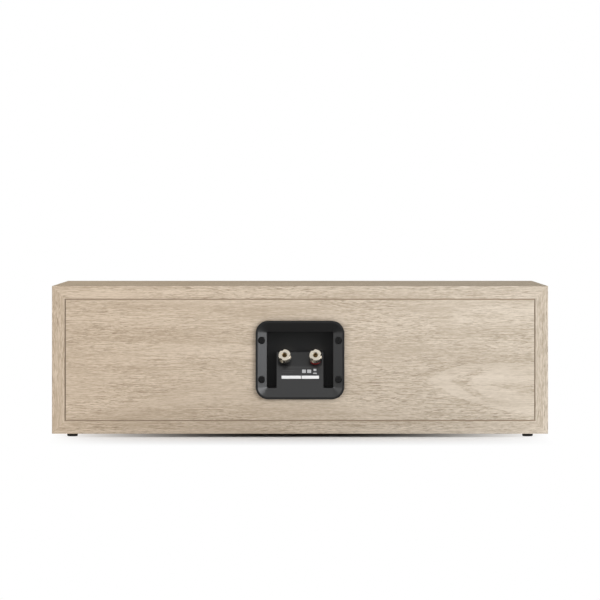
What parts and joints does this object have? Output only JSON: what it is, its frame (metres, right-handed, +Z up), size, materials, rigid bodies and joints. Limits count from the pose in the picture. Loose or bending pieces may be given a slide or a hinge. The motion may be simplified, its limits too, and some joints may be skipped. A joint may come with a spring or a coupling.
{
  "type": "centre loudspeaker",
  "caption": "Wide low oak loudspeaker with a recessed terminal cup and binding posts at the rear and cone drivers beside a dome tweeter in front.",
  "frame": {"origin": "on the floor under the middle of the whole object", "axes": "+Z up, +X along the cabinet, -Y out of the front with the drivers, +Y out of the rear with the terminals"},
  "size_m": [0.45, 0.2234, 0.1372],
  "materials": {
    "oak": "satin oak foil",
    "baffle_black": "satin black paint",
    "foot_rubber": "matte black rubber",
    "cup_black": "fine-grained black moulding",
    "gasket_foam": "soft black foam",
    "screw_black": "black oxide",
    "socket_brass": "turned brass",
    "knob_nickel": "pale nickel",
    "collar_red": "dark red moulding",
    "collar_black": "black moulding",
    "plain_steel": "zinc plated",
    "tag_brass": "tinned brass",
    "cast_black": "satin black paint",
    "cone_paper": "coated black paper",
    "cap_black": "satin black",
    "surround_rubber": "satin black rubber",
    "spider_cloth": "impregnated cloth",
    "coil_copper": "copper winding",
    "magnet_nickel": "nickel plated",
    "dome_cloth": "coated black cloth",
    "faceplate_black": "satin black moulding",
    "board_fibre": "bare board",
    "capacitor_case": "box case",
    "resistor_body": "ceramic block",
    "lead_jacket": "black jacket",
    "wadding_white": "loose polyester"
  },
  "bodies": {
    "cabinet": {"top_panel": "oak", "bottom_panel": "oak", "left_panel": "oak", "right_panel": "oak", "rear_panel": "oak", "front_baffle": "baffle_black", "rubber_feet": "foot_rubber", "terminal_cup": "cup_black", "terminal_gasket": "gasket_foam", "terminal_screws": "screw_black", "positive_stud": "socket_brass", "negative_stud": "socket_brass", "positive_collar": "collar_red", "negative_collar": "collar_black", "terminal_nuts": "plain_steel", "solder_tags": "tag_brass", "woofer_baskets": "cast_black", "woofer_surrounds": "surround_rubber", "woofer_spiders": "spider_cloth", "driver_pots": "plain_steel", "driver_magnets": "magnet_nickel", "driver_pole_plates": "plain_steel", "tweeter_faceplate": "faceplate_black", "tweeter_dome": "dome_cloth", "crossover_board": "board_fibre", "crossover_pads": "gasket_foam", "crossover_inductors": "coil_copper", "crossover_capacitors": "capacitor_case", "crossover_resistors": "resistor_body", "woofer_leads": "lead_jacket", "tweeter_lead": "lead_jacket", "input_wires": "lead_jacket", "left_wadding": "wadding_white", "right_wadding": "wadding_white"},
    "left_diaphragm": {"left_cone": "cone_paper", "left_dust_cap": "cap_black", "left_voice_coil": "coil_copper"},
    "right_diaphragm": {"right_cone": "cone_paper", "right_dust_cap": "cap_black", "right_voice_coil": "coil_copper"},
    "tweeter_coil": {"tweeter_voice_coil": "coil_copper"},
    "positive_clamp": {"positive_washer": "knob_nickel"},
    "positive_knob": {"positive_knob": "knob_nickel"},
    "negative_clamp": {"negative_washer": "knob_nickel"},
    "negative_knob": {"negative_knob": "knob_nickel"}
  },
  "joints": [
    {"name": "left_cone_travel", "type": "slide", "parent": "cabinet", "child": "left_diaphragm", "axis": [0, -1, 0], "range_m": [-0.004, 0.004], "stiffness_N_per_m": 1400, "deforming": ["woofer_surrounds", "woofer_spiders"]},
    {"name": "right_cone_travel", "type": "slide", "parent": "cabinet", "child": "right_diaphragm", "axis": [0, -1, 0], "range_m": [-0.004, 0.004], "stiffness_N_per_m": 1400, "deforming": ["woofer_surrounds", "woofer_spiders"]},
    {"name": "tweeter_coil_travel", "type": "slide", "parent": "cabinet", "child": "tweeter_coil", "axis": [0, -1, 0], "range_m": [-0.0003, 0.0003], "stiffness_N_per_m": 8000, "deforming": ["tweeter_dome"]},
    {"name": "positive_clamp_travel", "type": "slide", "parent": "cabinet", "child": "positive_clamp", "axis": [0, 0.9304, 0.3665], "range_m": [0, 0.003]},
    {"name": "positive_knob_turn", "type": "hinge", "parent": "positive_clamp", "child": "positive_knob", "pos_m": [-0.014, 0.10133, 0.07167], "axis": [0, 0.9304, 0.3665], "range_deg": [0, 1440]},
    {"name": "negative_clamp_travel", "type": "slide", "parent": "cabinet", "child": "negative_clamp", "axis": [0, 0.9304, 0.3665], "range_m": [0, 0.003]},
    {"name": "negative_knob_turn", "type": "hinge", "parent": "negative_clamp", "child": "negative_knob", "pos_m": [0.014, 0.10133, 0.07167], "axis": [0, 0.9304, 0.3665], "range_deg": [0, 1440]}
  ],
  "couplings": [
    {"joint": "positive_clamp_travel", "follows": "positive_knob_turn", "m_per_rad": 0.00011937},
    {"joint": "negative_clamp_travel", "follows": "negative_knob_turn", "m_per_rad": 0.00011937}
  ]
}
